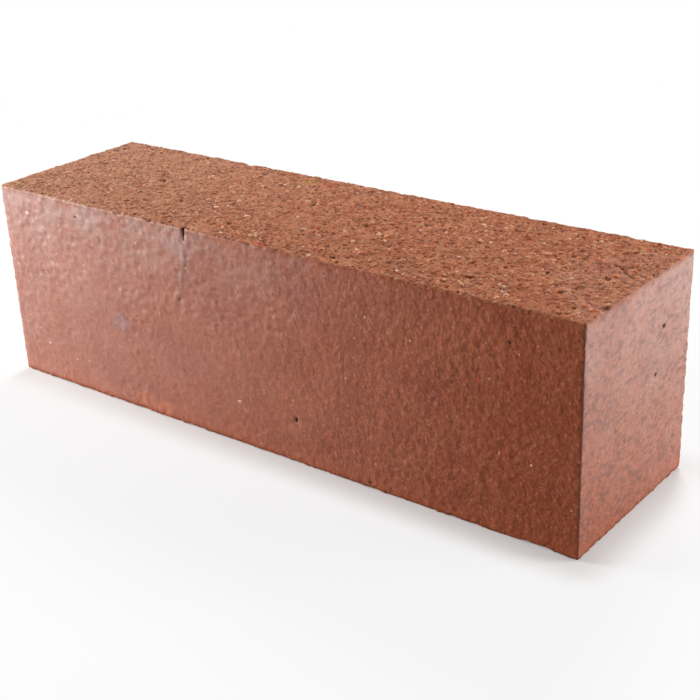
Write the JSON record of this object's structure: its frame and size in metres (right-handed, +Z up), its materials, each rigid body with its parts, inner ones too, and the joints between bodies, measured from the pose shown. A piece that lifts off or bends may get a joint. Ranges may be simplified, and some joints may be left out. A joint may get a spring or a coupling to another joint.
{
  "type": "refractory brick",
  "caption": "Straight magnesia-chrome refractory brick with pressed side walls, coarse open-grained bed faces and lightly worn arrises.",
  "frame": {"origin": "centre of the lower bed face, on the plane that the brick lies on", "axes": "+X along the length towards the header face nearest the viewer, +Y towards the rear stretcher face, +Z up through the upper bed face"},
  "size_m": [0.23, 0.064, 0.071],
  "materials": {
    "fired_magnesia_chrome": "matte, dry pressed and fired, coarse grained on the bed faces"
  },
  "bodies": {
    "root": {"brick": "fired_magnesia_chrome"}
  },
  "joints": []
}
